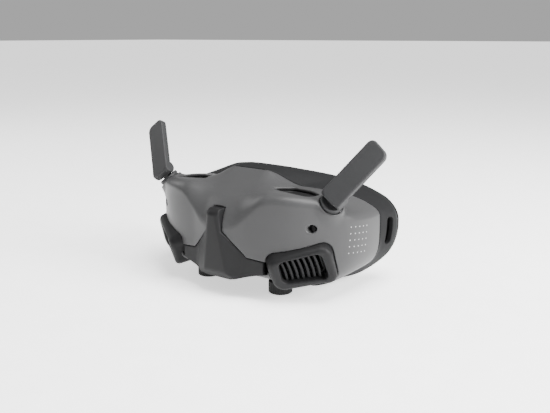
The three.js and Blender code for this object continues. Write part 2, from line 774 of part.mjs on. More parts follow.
function displayPanel() {
  const plate = plateXZ(rectangle(25, 24, 1), -26.4, CARRIAGE.sleeveFront - GAP, 2);
  plate.translate(EYE.x, 0, EYE.z);
  return toSolid(plate);
}

const KNOB_RIBS = { count: 18, depth: 0.6 };

function diopterKnob() {
  const corners = [];
  for (let i = 0; i < KNOB_RIBS.count * 2; i += 1) {
    const angle = (i / KNOB_RIBS.count) * Math.PI;
    const radius = i % 2 ? KNOB.radius : KNOB.radius - KNOB_RIBS.depth;
    corners.push(new THREE.Vector2(radius * Math.cos(angle), radius * Math.sin(angle)));
  }
  const shape = new THREE.Shape(corners);
  const drum = plateXY(shape, 0, KNOB.height);
  drum.translate(KNOB.x, KNOB.y, 0);
  const bore = bar(
    at(KNOB.x, KNOB.y, 1.5),
    at(KNOB.x, KNOB.y, 20),
    SPINDLE_RADIUS + 0.05,
    16,
  );
  return toSolid(drum).subtract(bore);
}

function knobSpindle() {
  return bar(at(KNOB.x, KNOB.y, 1.9), at(KNOB.x, KNOB.y, 17.6), SPINDLE_RADIUS - 0.3, 12);
}

function rearFrame() {
  let frame = insideOf(WALL + GAP).intersect(behindSeam(3)).subtract(behindSeam(0.6));
  SIDES.forEach(([, sign]) => {
    const window = plateXZ(rectangle(47, 39, 17), -60, 60, 8);
    window.translate(sign * (EYE.x + 1), 0, EYE.z);
    frame = frame.subtract(toSolid(window));
  });
  return frame;
}

// ---- electronics --------------------------------------------------------------------------
const BOARD = { half: 40, low: 34, high: 60, front: -33, back: -31.6 };

function mainBoard() {
  const { half, low, high, front, back } = BOARD;
  const outline = roundedPolygon([[-half, low], [half, low], [half, high], [-half, high]], 3);
  return toSolid(plateXZ(outline, front, back, 2));
}

const SINK = { half: 16, front: -36.5, back: -34, low: 30, high: 58 };
const FIN = { count: 7, width: 1, pitch: 4.8, front: -39.4, low: 31, high: 53 };

function heatSink() {
  let sink = block(-SINK.half, SINK.half, SINK.front, SINK.back, SINK.low, SINK.high);
  for (let i = 0; i < FIN.count; i += 1) {
    const x = -SINK.half + 1 + i * FIN.pitch;
    sink = sink.add(block(x, x + FIN.width, FIN.front, SINK.front + 0.5, FIN.low, FIN.high));
  }
  return sink;
}

const SPOKE_HALF = 1.2;

function fanHousing() {
  const outline = rectangle(FAN.size, FAN.size, 2);
  outline.holes.push(new THREE.Path().absarc(0, 0, FAN.radius + 0.5, 0, Math.PI * 2, true));
  const spoke = FAN.radius + 0.8;
  const half = FAN.depth / 2;
  return toSolid(plateXZ(outline, -half, half, 6))
    .add(block(-spoke, spoke, half - 1.4, half, -SPOKE_HALF, SPOKE_HALF))
    .add(block(-SPOKE_HALF, SPOKE_HALF, half - 1.4, half, -spoke, spoke))
    .translate([FAN.x, FAN.y, FAN.z]);
}

function fanRotor() {
  const hub = 3;
  let rotor = bar(at(0, -3, 0), at(0, 2, 0), hub, 14);
  for (let i = 0; i < FAN.blades; i += 1) {
    const blade = new THREE.BoxGeometry(0.8, 4, 4.9);
    blade.rotateZ(0.5);
    blade.translate(0, -0.6, 4.9);
    blade.rotateY((i / FAN.blades) * Math.PI * 2);
    rotor = rotor.add(toSolid(blade));
  }
  return rotor.translate([FAN.x, FAN.y, FAN.z]);
}

// ---- small parts --------------------------------------------------------------------------
function cameraLens() {
  const { x, y, z, radius, depth } = CAMERA;
  return bar(at(x, y, z), at(x, y + depth, z), radius, 20);
}

function touchSensor() {
  const plate = plateXZ(rectangle(26, 24, 2), 0, 1.2);
  plate.rotateZ(Math.PI / 2 - 0.13);
  plate.translate(74.3, 3, 40);
  return toSolid(plate);
}

function proximityWindow() {
  return block(-4, 4, SEAM_REAR - 0.2, SEAM_REAR + 0.8, 48, 53);
}

function screw(x, z) {
  const y = seamY(x + 2) - 0.1;
  return bar(at(x, y, z), at(x, y + 1.6, z), 2, 14);
}

// ---- assembly -----------------------------------------------------------------------------
const goggles = new THREE.Group();

function addPiece(name, solid, colour, roughness = 0.6, metalness = 0) {
  const geometry = solid.isBufferGeometry ? solid : toGeometry(solid);
  const material = new THREE.MeshStandardMaterial({ color: colour, roughness, metalness });
  const mesh = new THREE.Mesh(geometry, material);
  mesh.name = name;
  goggles.add(mesh);
}

function addPair(name, solid, colour, roughness, metalness) {
  const geometry = toGeometry(solid);
  addPiece(`${name}_right`, geometry, colour, roughness, metalness);
  addPiece(`${name}_left`, mirrorX(geometry), colour, roughness, metalness);
}

addPiece('front_shell', frontShell(), COLOURS.shell, 0.45);
addPiece('centre_cover', centreCover(), COLOURS.dark, 0.5);
addPiece('lower_shell', lowerShell(), COLOURS.dark, 0.6);
addPiece('rear_frame', rearFrame(), COLOURS.dark, 0.7);
addPiece('face_mask', faceMask(), COLOURS.mask, 0.75);
addPiece('foam_pad', foamPad(), COLOURS.foam, 0.95);
addPair('vent_bezel', ventBezel(), COLOURS.dark, 0.5);
addPair('vent_louvres', ventLouvres(), COLOURS.dark, 0.55);
addPair('top_vent_grille', topVentGrille(), COLOURS.dark, 0.6);
addPair('camera_lens', cameraLens(), COLOURS.black, 0.15);
addPair('antenna_base', antennaBase(), COLOURS.dark, 0.55);
addPair('antenna_hinge_pin', alongFold(PIN_RADIUS, PIN_LENGTH, 10), COLOURS.steel, 0.3, 1);
addPair('antenna_front', paddleFront(), COLOURS.dark, 0.55);
addPair('antenna_back', paddleBack(), COLOURS.dark, 0.55);
addPair('eye_carriage', eyeCarriage(), COLOURS.black, 0.7);
addPair('lens_cell', lensCell(), COLOURS.black, 0.6);
addPair('eyepiece_lens', eyepieceLens(), COLOURS.glass, 0.05);
addPair('display_panel', displayPanel(), COLOURS.glass, 0.1);
addPair('diopter_knob', diopterKnob(), COLOURS.black, 0.6);
addPair('knob_spindle', knobSpindle(), COLOURS.steel, 0.3, 1);
addPair('fan_housing', fanHousing(), COLOURS.black, 0.6);
addPair('fan_rotor', fanRotor(), COLOURS.black, 0.5);
RAILS.forEach(({ z, reach }, i) => {
  const rail = bar(at(-reach, RAIL.y, z), at(reach, RAIL.y, z), RAIL.radius, 12);
  addPiece(`guide_rail_${i + 1}`, rail, COLOURS.steel, 0.3, 1);
});
addPiece('main_board', mainBoard(), COLOURS.board, 0.6);
addPiece('heat_sink', heatSink(), COLOURS.steel, 0.4, 1);
addPiece('touch_sensor', touchSensor(), COLOURS.board, 0.6);
addPiece('proximity_window', proximityWindow(), COLOURS.glass, 0.1);
PORTS.forEach((port) => addPiece(port.name, portSolid(port), COLOURS.black, 0.5));
[[14, 66], [54, 60], [54, 20]].forEach(([x, z], i) => {
  addPair(`frame_screw_${i + 1}`, screw(x, z), COLOURS.steel, 0.35, 1);
});

export default goggles;
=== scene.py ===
import json
import math

import bmesh
import bpy
import numpy as np
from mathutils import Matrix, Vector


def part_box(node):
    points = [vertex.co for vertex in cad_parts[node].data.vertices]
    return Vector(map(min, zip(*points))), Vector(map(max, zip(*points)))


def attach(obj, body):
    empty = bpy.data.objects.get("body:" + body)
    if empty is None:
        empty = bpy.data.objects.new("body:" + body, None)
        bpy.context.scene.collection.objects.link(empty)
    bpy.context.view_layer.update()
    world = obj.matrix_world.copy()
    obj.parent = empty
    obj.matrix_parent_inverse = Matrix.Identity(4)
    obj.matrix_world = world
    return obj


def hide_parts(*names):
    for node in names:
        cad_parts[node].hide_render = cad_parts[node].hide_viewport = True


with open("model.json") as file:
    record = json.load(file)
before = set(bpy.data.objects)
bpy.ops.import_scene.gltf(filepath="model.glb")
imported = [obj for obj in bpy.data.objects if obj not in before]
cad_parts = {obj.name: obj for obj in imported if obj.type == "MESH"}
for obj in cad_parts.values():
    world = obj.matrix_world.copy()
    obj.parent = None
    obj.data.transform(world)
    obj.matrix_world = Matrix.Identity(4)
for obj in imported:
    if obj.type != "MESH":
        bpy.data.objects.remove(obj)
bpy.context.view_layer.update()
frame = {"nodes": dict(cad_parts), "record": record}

import openvdb
from mathutils import Matrix, Vector

# Lengths are millimetres until a mesh is made, where MM turns them into metres.
# The studio at the end is laid out in metres.
MM = 0.001

# ---- the goggles' driving dimensions --------------------------------------------------------
GAP = 0.35
WALL = 2.2
HALF_WIDTH = 82.8
MIDDLE = 41.0
REAR_CENTRE = 25.0
FRONT_REACH = 69.0
SIDE_HEIGHT = 38.0
SIDE_LIFT, SIDE_LIFT_FROM, SIDE_LIFT_TO = 12.0, 20.0, 50.0
PLAN_POWER = 2.5
SIDE_POWER = 2.8
LOBE_TOP, LOBE_LEVEL_Y = 71.2, -30
LOBE_FALL, LOBE_FALL_X, LOBE_FALL_REAR = 4.2, 70, 0.0022
HUMP_REAR_Y, HUMP_REAR_Z = -9.3, 78.8
HUMP_SLOPE = 0.532
HUMP_FLAT, HUMP_FOOT = 11.0, 35.0
RIDGE_HEIGHT, RIDGE_FOOT, RIDGE_ROUND, RIDGE_TAIL = 6.2, 22.0, 6, 0.03
BOTTOM_HEIGHT, BOTTOM_SLOPE = 8.35, 0.135
BOTTOM_LIFT, BOTTOM_LIFT_Y = 0.42, -32
FACET_X, FACET_Z, FACET_OFFSET = 0.582, 0.813, 90.7
FACET_TWIST, FACET_TWIST_Y = 0.15, -14
EDGE_ROUND, EDGE_EXTRA, EDGE_FROM, EDGE_TO = 6.0, 8, 10, 46
AROUND_ROUND, BOTTOM_ROUND, FACET_ROUND = 6, 3, 2.6
SEAM_REAR, SEAM_SLOPE, SEAM_KNEE = -9.3, 0.49, 12.0
KNOB_X, KNOB_Y, KNOB_RADIUS, KNOB_HEIGHT = 31.0, -18.5, 8.0, 8.5
KNOB_RIBS, KNOB_RIB_HEIGHT = 30, 0.32
CAMERA_X, CAMERA_Z, CAMERA_RADIUS = 61.0, 50.0, 2.2
SIDES = (("right", 1), ("left", -1))


def unit(x, y, z):
    vector = np.array([x, y, z], float)
    return vector / np.linalg.norm(vector)


POD_NORMAL = unit(0.59, -0.728, -0.35)
POD_ACROSS = unit(*np.cross([0, 0, 1], POD_NORMAL))
POD_UP = np.cross(POD_NORMAL, POD_ACROSS)
POD_CENTRE = 49.3 * POD_NORMAL + 22 * POD_ACROSS + 45 * POD_UP
POD_OUTLINE = [(-20.7, 2.8), (-13.4, -18.2), (26, -10.6), (18.6, 14.8), (-3, 11.0)]
POD_MOUTH = [(-13, 3.6), (-9.3, -11.2), (18.8, -7.6), (12.8, 10.4)]
POD_DEPTH, POD_LEDGE = 12.8, 11.4

FOLD_POINT = np.array([71.8, -19.9, 70.5])
FOLD_AXIS = unit(0.833, -0.073, -0.548)
PADDLE_LONG = unit(0.52, 0.44, 0.732)
PADDLE_BACK = unit(*np.cross(PADDLE_LONG, FOLD_AXIS))
BARREL_AXIS = unit(0.52, -0.36, 0.775)
BARREL_RADIUS, BARREL_TOP, BARREL_ROOT = 7.2, -5.1, -12.5
BARREL_GROOVES, GROOVE_DEPTH, GROOVE_WIDTH = (7.6, 9.2), 0.45, 0.35
PADDLE_INNER, PADDLE_OUTER, PADDLE_TIP, PADDLE_SLANT = 7.4, 7.9, 41.6, 1.6
PADDLE_THICK, PADDLE_TAIL, PADDLE_AHEAD = 5.0, 4.4, 1.2
PADDLE_CORNER, PADDLE_SPLIT, SPLIT_GAP = 4.4, 1, 0.12
KNUCKLE_RADIUS, KNUCKLE_CLEARANCE = 4.5, 0.15
NECK_DROP, NECK_HALF_THICK, NECK_HALF_RISE = 4.4, 2.1, 4
NOTCH_HALF, NOTCH_TOP = 3, 4.2
EAR_RADIUS, EAR_HALF, EAR_CLEARANCE = 2.4, 2.6, 0.4


# How often a search halves its span.
HALVINGS = 40


# ---- signed fields: negative inside, in millimetres -------------------------------------------
def smooth(start, end, value):
    t = np.clip((value - start) / (end - start), 0, 1)
    return t * t * (3 - 2 * t)


def common(a, b, radius):
    """Where both solids are, with the edge between them rounded."""
    outside = np.hypot(np.maximum(a + radius, 0), np.maximum(b + radius, 0))
    return np.minimum(np.maximum(a, b), -radius) + outside


def cut(solid, tool, radius=0.4):
    return common(solid, -tool, radius)


def join(a, b, radius=0.5):
    return -common(-a, -b, radius)


def convex(u, v, points, radius):
    """A convex outline, given clockwise or counter-clockwise, with its corners rounded."""
    centre = np.mean(points, axis=0)
    field = None
    for start, end in zip(points, points[1:] + points[:1]):
        edge = np.array(end, float) - np.array(start, float)
        normal = np.array([edge[1], -edge[0]]) / np.linalg.norm(edge)
        if normal @ (centre - np.array(start)) > 0:
            normal = -normal
        side = (u - start[0]) * normal[0] + (v - start[1]) * normal[1]
        field = side if field is None else common(field, side, radius)
    return field


def polygon(u, v, points):
    """Distance to any closed outline, negative inside it."""
    nearest = np.inf
    inside = False
    for start, end in zip(points, points[1:] + points[:1]):
        edge_u, edge_v = end[0] - start[0], end[1] - start[1]
        du, dv = u - start[0], v - start[1]
        t = np.clip((du * edge_u + dv * edge_v) / (edge_u**2 + edge_v**2), 0, 1)
        nearest = np.minimum(nearest, np.hypot(du - t * edge_u, dv - t * edge_v))
        if edge_v != 0:
            spans = (start[1] <= v) != (end[1] <= v)
            inside = inside ^ (spans & (du < edge_u * dv / edge_v))
    return np.where(inside, -nearest, nearest)


def local(x, y, z, origin, across, up, out):
    """Coordinates of a point in a turned frame."""
    dx, dy, dz = x - origin[0], y - origin[1], z - origin[2]
    return tuple(dx * a[0] + dy * a[1] + dz * a[2] for a in (across, up, out))


def cylinder(x, y, z, origin, axis, radius):
    dx, dy, dz = x - origin[0], y - origin[1], z - origin[2]
    along = dx * axis[0] + dy * axis[1] + dz * axis[2]
    square = dx * dx + dy * dy + dz * dz - along * along
    return np.sqrt(np.maximum(square, 1e-9)) - radius, along


# ---- the body form ----------------------------------------------------------------------------
def seam_y(x):
    return SEAM_REAR + SEAM_SLOPE * np.maximum(0, np.abs(x) - SEAM_KNEE)


def top_height(x, y):
    side = np.abs(x)
    behind = np.maximum(0, y - LOBE_LEVEL_Y)
    lobe = LOBE_TOP - LOBE_FALL * (side / LOBE_FALL_X) ** 3 - LOBE_FALL_REAR * behind**2
    hump = HUMP_REAR_Z + HUMP_SLOPE * (np.minimum(y, HUMP_REAR_Y) - HUMP_REAR_Y)
    return lobe + (hump - lobe) * (1 - smooth(HUMP_FLAT, HUMP_FOOT, side))


def ridge(x):
    fall = 1 - np.sqrt(x**2 + RIDGE_ROUND) / RIDGE_FOOT
    return RIDGE_HEIGHT * (fall + np.sqrt(fall**2 + RIDGE_TAIL)) / 2


def bottom_height(y):
    return BOTTOM_HEIGHT - BOTTOM_SLOPE * y + BOTTOM_LIFT * np.maximum(0, BOTTOM_LIFT_Y - y)


def body(x, y, z):
    """The goggles' outer form, before anything is cut from it."""
    side = np.abs(x)
    ahead = np.abs(REAR_CENTRE - (y + ridge(x))) / FRONT_REACH
    plan = ((side / HALF_WIDTH) ** PLAN_POWER + ahead**PLAN_POWER) ** (1 / PLAN_POWER)
    height = SIDE_HEIGHT + SIDE_LIFT * (1 - smooth(SIDE_LIFT_FROM, SIDE_LIFT_TO, side))
    section = (
        (side / (HALF_WIDTH + 0.5)) ** SIDE_POWER + (np.abs(z - MIDDLE) / height) ** SIDE_POWER
    ) ** (1 / SIDE_POWER)
    twist = FACET_TWIST * np.maximum(0, FACET_TWIST_Y - y)
    facet = FACET_X * side + FACET_Z * z - FACET_OFFSET - twist
    edge = EDGE_ROUND + EDGE_EXTRA * (1 - smooth(EDGE_FROM, EDGE_TO, side))
    around = common(FRONT_REACH * (plan - 1), FRONT_REACH * (section - 1), AROUND_ROUND)
    sides = common(around, bottom_height(y) - z, BOTTOM_ROUND)
    return common(common(sides, z - top_height(x, y), edge), facet, FACET_ROUND)


# ---- meshes -----------------------------------------------------------------------------------
def new_object(name, points, faces):
    mesh = bpy.data.meshes.new(name)
    mesh.vertices.add(len(points))
    mesh.vertices.foreach_set("co", (np.asarray(points) * MM).astype(np.float32).ravel())
    faces = np.asarray(faces)
    count = faces.shape[1]
    mesh.loops.add(faces.size)
    mesh.loops.foreach_set("vertex_index", faces.astype(np.int32).ravel())
    mesh.polygons.add(len(faces))
    mesh.polygons.foreach_set("loop_start", np.arange(0, faces.size, count, dtype=np.int32))
    mesh.update(calc_edges=True)
    mesh.validate()
    mesh.shade_smooth()
    obj = bpy.data.objects.new(name, mesh)
    bpy.context.scene.collection.objects.link(obj)
    return obj


def differences(field, x, y, z, reach):
    """How much a field changes across a point along each axis."""
    return [
        field(x + reach, y, z) - field(x - reach, y, z),
        field(x, y + reach, z) - field(x, y - reach, z),
        field(x, y, z + reach) - field(x, y, z - reach),
    ]


def settle(points, field, step):
    """Moves points along the field's slope, twice, so that they lie close to its skin."""
    reach = 0.05
    for _ in range(2):
        x, y, z = points.T
        slope = np.stack(differences(field, x, y, z, reach), axis=1) / (2 * reach)
        steep = np.maximum(np.sum(slope**2, axis=1), 0.2)
        move = (field(x, y, z) / steep)[:, None] * slope
        length = np.linalg.norm(move, axis=1, keepdims=True)
        points = points - move * np.minimum(1, 0.4 * step / np.maximum(length, 1e-9))
    return points


def mesh_field(name, field, low, high, step):
    """A mesh of a field's skin, sampled on a grid between two corners."""
    axes = [np.arange(a, b + step, step) for a, b in zip(low, high)]
    x, y, z = axes[0][:, None, None], axes[1][None, :, None], axes[2][None, None, :]
    band = 3 * step
    values = np.clip(field(x, y, z), -band, band).astype(np.float32)
    grid = openvdb.FloatGrid(band)
    grid.copyFromArray(np.ascontiguousarray(values))
    points, quads = grid.convertToQuads(isovalue=0.0)
    points = np.array(low) + points.astype(float) * step
    points = settle(points, field, step)
    return new_object(name, points, quads[:, ::-1])


def mirrored(obj, name):
    """The same piece mirrored for the other side of the goggles."""
    mesh = obj.data.copy()
    mesh.name = name
    mesh.transform(Matrix.Scale(-1, 4, (1, 0, 0)))
    mesh.flip_normals()
    twin = bpy.data.objects.new(name, mesh)
    bpy.context.scene.collection.objects.link(twin)
    return twin


# ---- pieces -----------------------------------------------------------------------------------
COVER_HALF = [
    (4.6, 58.3), (6, 43.8), (21.7, 27.9), (36, 26.4), (36, 19), (22.5, 15.2), (9.3, 11.2),
]


def cover_outline(x, z, grow):
    half = [(u + grow, v + (grow if v > 25 else -grow)) for u, v in COVER_HALF]
    return polygon(x, z, half + [(-u, v) for u, v in reversed(half)])


def pod_frame(x, y, z):
    return local(np.abs(x), y, z, POD_CENTRE, POD_ACROSS, POD_UP, POD_NORMAL)


POD_CORNER, POD_DRAFT = 6.5, 0.12
MOUTH_CORNER, MOUTH_FLARE, MOUTH_FLARE_DEPTH = 3.5, 0.10, 4
RIM_TILT, RIM_RISE, RIM_RISE_U, RIM_ROUND = 0.08, 0.16, 15, 3.0


def pod_wall(u, v, out):
    return convex(u, v, POD_OUTLINE, POD_CORNER) + POD_DRAFT * np.minimum(out, 0)


def mouth_outline(u, v):
    return convex(u, v, POD_MOUTH, MOUTH_CORNER)


def pod_mouth(u, v, out):
    return mouth_outline(u, v) - MOUTH_FLARE * np.maximum(out + MOUTH_FLARE_DEPTH, 0)


SLOT_OUTLINE = [
    (28, -23.5), (38, -26.8), (54.5, -25.6), (57.8, -20), (56.5, -12), (49, -7.5), (34, -9),
]


def top_slot(x, y, grow=0.0):
    return convex(np.abs(x), y, SLOT_OUTLINE, 2.0) - grow


def barrel(x, y, z, radius):
    return cylinder(np.abs(x), y, z, FOLD_POINT, BARREL_AXIS, radius)


BOSS_WALL, BOSS_TOP, BOSS_ROOT, BOSS_FILLET = 1.5, -8.3, -18, 3.5
SLOT_FLOOR, CAMERA_BACK, COVER_BACK = 55, -10, -30
PANEL_X, PANEL_FRONT, PANEL_REAR, PANEL_CORNER, PANEL_HEIGHT = 50, -29.6, 30, 8, 6


def front_shell(x, y, z):
    """The body form hollowed out, with a boss round each antenna barrel and its openings cut."""
    skin = body(x, y, z)
    collar, along = barrel(x, y, z, BARREL_RADIUS + BOSS_WALL)
    boss = common(collar, np.maximum(along - BOSS_TOP, BOSS_ROOT - along), 0.8)
    outer = join(skin, boss, BOSS_FILLET)
    shell = common(outer, -(skin + WALL), 0.4)
    shell = common(shell, y - seam_y(x), 0.6)
    shell = cut(shell, np.maximum(cover_outline(x, z, 0.2), y - COVER_BACK), 0.4)
    shell = cut(shell, pod_wall(*pod_frame(x, y, z)) - GAP, 0.5)
    shell = cut(shell, np.maximum(top_slot(x, y), SLOT_FLOOR - z), 0.7)
    hole, _ = barrel(x, y, z, BARREL_RADIUS + GAP)
    shell = cut(shell, hole, 0.6)
    eye = np.hypot(np.abs(x) - CAMERA_X, z - CAMERA_Z) - CAMERA_RADIUS - GAP
    shell = cut(shell, np.maximum(eye, y - CAMERA_BACK), 0.5)
    panel_outline = [
        (-PANEL_X, PANEL_FRONT),
        (PANEL_X, PANEL_FRONT),
        (PANEL_X, PANEL_REAR),
        (-PANEL_X, PANEL_REAR),
    ]
    panel = convex(x, y, panel_outline, PANEL_CORNER) - GAP
    return cut(shell, np.maximum(panel, z - bottom_height(y) - PANEL_HEIGHT), 0.4)


COVER_FRONT_Y, COVER_TOP_Z, COVER_LEAN = -51.4, 55.5, 0.062
FLAT_HALF, FLAT_SPREAD, FLAT_FROM_Z = 2.4, 0.055, 58
FLANK_RISE, FLANK_RUN = 8.5, 15.5
WING_X, WING_Y, WING_RISE, WING_RUN = 22, -42.9, 1.7, 14
CHIN_Y, CHIN_Z, CHIN_OFFSET = 0.8, 0.6, 29.2
BROW_Y, BROW_Z, BROW_HEIGHT = 0.55, 0.83, 56
POD_REVEAL = 0.12


def centre_cover(x, y, z):
    """A flat front with a flank and a wing each side.

    The factor after a plane is one over the length of its slope, so that it measures distance.
    """
    side = np.abs(x)
    front = (COVER_FRONT_Y + COVER_LEAN * (COVER_TOP_Z - z) - y) * 0.998
    flat = FLAT_HALF + FLAT_SPREAD * np.maximum(0, FLAT_FROM_Z - z)
    flank = (-y + COVER_FRONT_Y + (side - flat) * FLANK_RISE / FLANK_RUN) * 0.88
    wing = (-y + WING_Y + (side - WING_X) * WING_RISE / WING_RUN) * 0.99
    chin = (-CHIN_Y * y - CHIN_Z * z) - CHIN_OFFSET
    brow = (-BROW_Y * (y - COVER_FRONT_Y) + BROW_Z * (z - BROW_HEIGHT)) * 1.004
    form = common(front, join(flank, wing, 1.0), 0.5)
    form = common(common(form, chin, 0.8), brow, 1.8)
    form = common(form, cover_outline(x, z, 0), 0.6)
    form = cut(form, pod_wall(*pod_frame(x, y, z)) - POD_REVEAL, 0.2)
    return np.maximum(cut(form, body(x, y, z) + WALL + 0.4, 0.3), y - COVER_BACK)


BEZEL_LIP = 1.5


def vent_bezel(x, y, z):
    """A deep frame with a broad rounded rim; its outer end swells to meet the shell."""
    u, v, out = pod_frame(x, y, z)
    front = out + RIM_TILT * v - RIM_RISE * np.maximum(u - RIM_RISE_U, 0)
    bezel = common(common(pod_wall(u, v, out), front, RIM_ROUND), -POD_DEPTH - out, 0.5)
    bezel = cut(bezel, np.maximum(pod_mouth(u, v, out), -POD_LEDGE - out), 0.9)
    return cut(bezel, mouth_outline(u, v) + BEZEL_LIP, 0.3)


LOUVRE_COUNT = 7
LOUVRE_FIRST, LOUVRE_SPAN = (-9.2, -3.7), (20.6, 4.2)
LOUVRE_SUNK, LOUVRE_TURN, LOUVRE_LEAN, LOUVRE_BOW = 4.6, 0.30, 0.34, -0.010
LOUVRE_HALF, LOUVRE_HALF_DEPTH = 0.85, 2.5
LOUVRE_RING_FRONT, LOUVRE_RING_BACK, LOUVRE_RING_WIDTH, LOUVRE_GAP = 6.2, 7.7, 2.0, 0.4


def vent_louvres(x, y, z):
    """Curved, slanted blades on a frame that sits inside the bezel's mouth."""
    u, v, out = pod_frame(x, y, z)
    mouth = mouth_outline(u, v)
    depths = np.maximum(out + LOUVRE_RING_FRONT, -LOUVRE_RING_BACK - out)
    ring = common(mouth + LOUVRE_GAP, depths, 0.3)
    ring = cut(ring, mouth + LOUVRE_RING_WIDTH, 0.3)
    blades = None
    for i in range(LOUVRE_COUNT):
        share = i / (LOUVRE_COUNT - 1)
        centre_u = LOUVRE_FIRST[0] + LOUVRE_SPAN[0] * share
        centre_v = LOUVRE_FIRST[1] + LOUVRE_SPAN[1] * share
        du, dv, dw = u - centre_u, v - centre_v, out + LOUVRE_SUNK
        turned = math.cos(LOUVRE_TURN) * du + math.sin(LOUVRE_TURN) * dv
        bow = LOUVRE_BOW * dv**2
        tilt = turned - LOUVRE_LEAN * dw - bow
        blade = common(np.abs(tilt) - LOUVRE_HALF, np.abs(dw) - LOUVRE_HALF_DEPTH, 0.6)
        blades = blade if blades is None else np.minimum(blades, blade)
    return join(ring, common(blades, mouth + LOUVRE_GAP, 0.2), 0.4)


RAMP_Y, RAMP_HALF, RAMP_Z, RAMP_SLOPE, RAMP_HALF_THICK = 12.5, 6.5, 65.9, 0.22, 0.6
RIB_COUNT, RIB_FIRST, RIB_PITCH, RIB_HALF, RIB_HALF_HEIGHT = 5, 31.5, 6, 0.6, 0.8
RIB_Z, RIB_Y, RIB_HALF_LENGTH = 64.9, 21, 8


def top_grille(x, y, z):
    """The dark insert under the slot in the shell's top: a ramp at the rear and ribs."""
    under = body(x, y, z) + WALL + GAP
    tray = top_slot(x, y, 1.4)
    layer = np.maximum(under, -under - 1.7)
    frame_ring = common(common(tray, layer, 0.3), -top_slot(x, y, -1.0), 0.3)
    side, depth = np.abs(x), y + RAMP_Y
    ramp_height = z - RAMP_Z - RAMP_SLOPE * depth
    ramp_plan = np.maximum(np.abs(depth) - RAMP_HALF, top_slot(x, y, 0.8))
    ramp = common(ramp_plan, np.abs(ramp_height) - RAMP_HALF_THICK, 0.3)
    ribs = None
    for i in range(RIB_COUNT):
        across = np.abs(side - RIB_FIRST - RIB_PITCH * i) - RIB_HALF
        rib = common(across, np.abs(z - RIB_Z) - RIB_HALF_HEIGHT, 0.25)
        ribs = rib if ribs is None else np.minimum(ribs, rib)
    ribs = common(ribs, np.maximum(tray, np.abs(y + RIB_Y) - RIB_HALF_LENGTH), 0.2)
    return common(join(join(frame_ring, ramp, 0.3), ribs, 0.2), under, 0.2)


def antenna_base(x, y, z):
    """A grooved drum on the barrel's axis, with a neck up to the ear on the fold's axis."""
    radial, along = barrel(x, y, z, BARREL_RADIUS)
    grooves = sum(
        GROOVE_DEPTH * np.exp(-(((along + place) / GROOVE_WIDTH) ** 2)) for place in BARREL_GROOVES
    )
    ends = np.maximum(along - BARREL_TOP, BARREL_ROOT - along)
    drum = common(radial + grooves, ends, 0.9)
    ear, across = cylinder(x, y, z, FOLD_POINT, FOLD_AXIS, EAR_RADIUS)
    ear = common(ear, np.abs(across) - EAR_HALF, 0.3)
    thick = unit(*np.cross(BARREL_AXIS, FOLD_AXIS))
    rise = unit(*np.cross(FOLD_AXIS, thick))
    origin = FOLD_POINT - NECK_DROP * BARREL_AXIS
    u, v, w = local(x, y, z, origin, FOLD_AXIS, thick, rise)
    neck = common(np.abs(u) - EAR_HALF, np.abs(v) - NECK_HALF_THICK, 0.3)
    neck = common(neck, np.abs(w) - NECK_HALF_RISE, 0.3)
    return join(join(drum, neck, 0.8), ear, 0.3)


def paddle_frame(x, y, z):
    origin = FOLD_POINT - PADDLE_AHEAD * PADDLE_BACK
    return local(x, y, z, origin, FOLD_AXIS, PADDLE_LONG, -PADDLE_BACK)


def paddle_plate(u, v):
    outline = [
        (-PADDLE_INNER, -PADDLE_TAIL),
        (PADDLE_OUTER, -PADDLE_TAIL),
        (PADDLE_OUTER, PADDLE_TIP - PADDLE_SLANT),
        (-PADDLE_INNER, PADDLE_TIP),
    ]
    return convex(u, v, outline, PADDLE_CORNER)


def antenna_front(x, y, z):
    """The paddle's front half with its knuckle, notched round the base's ear."""
    u, v, w = paddle_frame(x, y, z)
    plate = common(paddle_plate(u, v), w - PADDLE_THICK / 2, 1.1)
    knuckle, across = cylinder(x, y, z, FOLD_POINT, FOLD_AXIS, KNUCKLE_RADIUS)
    knuckle = common(knuckle, np.maximum(-PADDLE_INNER - across, across - PADDLE_OUTER), 1.2)
    knuckle = common(knuckle, w - PADDLE_THICK / 2, 0.8)
    plate = np.minimum(common(plate, -PADDLE_SPLIT - w, 0.2), knuckle)
    ear, across = cylinder(x, y, z, FOLD_POINT, FOLD_AXIS, EAR_RADIUS + EAR_CLEARANCE)
    return cut(plate, np.maximum(ear, np.abs(across) - NOTCH_HALF), 0.2)


def antenna_back(x, y, z):
    """The paddle's back half, a thin gap away from the front one and clear of the knuckle."""
    u, v, w = paddle_frame(x, y, z)
    plate = common(paddle_plate(u, v), -PADDLE_THICK / 2 - w, 0.9)
    plate = common(plate, w + PADDLE_SPLIT + SPLIT_GAP, 0.1)
    notch = np.maximum(np.abs(u) - NOTCH_HALF, v - NOTCH_TOP)
    knuckle, _ = cylinder(x, y, z, FOLD_POINT, FOLD_AXIS, KNUCKLE_RADIUS + KNUCKLE_CLEARANCE)
    return cut(cut(plate, notch, 0.3), knuckle, 0.2)


def knob(x, y, z):
    """The right knob, ribbed all round."""
    u, v = x - KNOB_X, y - KNOB_Y
    around = np.arctan2(v, u)
    ribs = KNOB_RIB_HEIGHT * (0.5 + 0.5 * np.cos(KNOB_RIBS * around)) ** 0.5
    radial = np.hypot(u, v) - (KNOB_RADIUS - KNOB_RIB_HEIGHT) - ribs
    return common(radial, np.maximum(-z, z - KNOB_HEIGHT), 0.8)


# ---- materials --------------------------------------------------------------------------------
BROAD_SCALE, RELIEF = 60, 0.35


